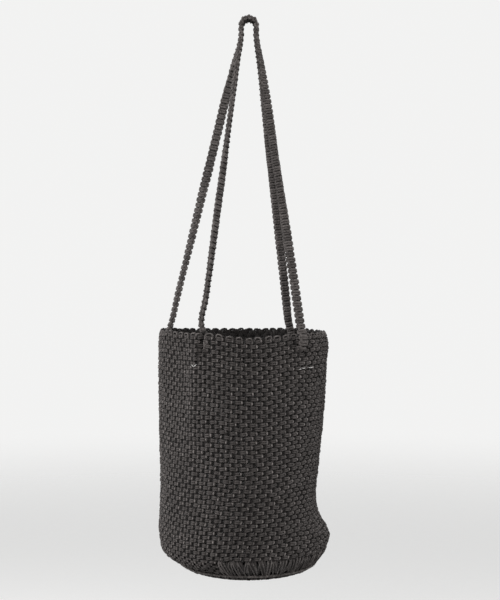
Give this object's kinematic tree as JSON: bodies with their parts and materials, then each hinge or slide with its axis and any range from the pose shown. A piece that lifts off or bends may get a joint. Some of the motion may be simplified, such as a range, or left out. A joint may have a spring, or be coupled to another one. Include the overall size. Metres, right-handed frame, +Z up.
{
  "type": "drawstring bag",
  "caption": "Round bag of tightly knotted cotton cord with an open scalloped mouth, hung by knotted cord straps that draw the mouth in when they are pulled.",
  "frame": {"origin": "the hang point: the underside of the two straps where they bear on whatever carries the bag", "axes": "+Z up along the hanging bag, +X to the right seen from the front, -Y towards the front"},
  "size_m": [0.222, 0.234, 0.7239],
  "materials": {
    "cord": "matte charcoal-grey twisted cotton cord"
  },
  "bodies": {
    "root": {"bag_wall": "cord", "edge_loops": "cord", "foot_band": "cord", "base_ring": "cord", "base": "cord", "strap_front": "cord", "strap_back": "cord"}
  },
  "joints": []
}
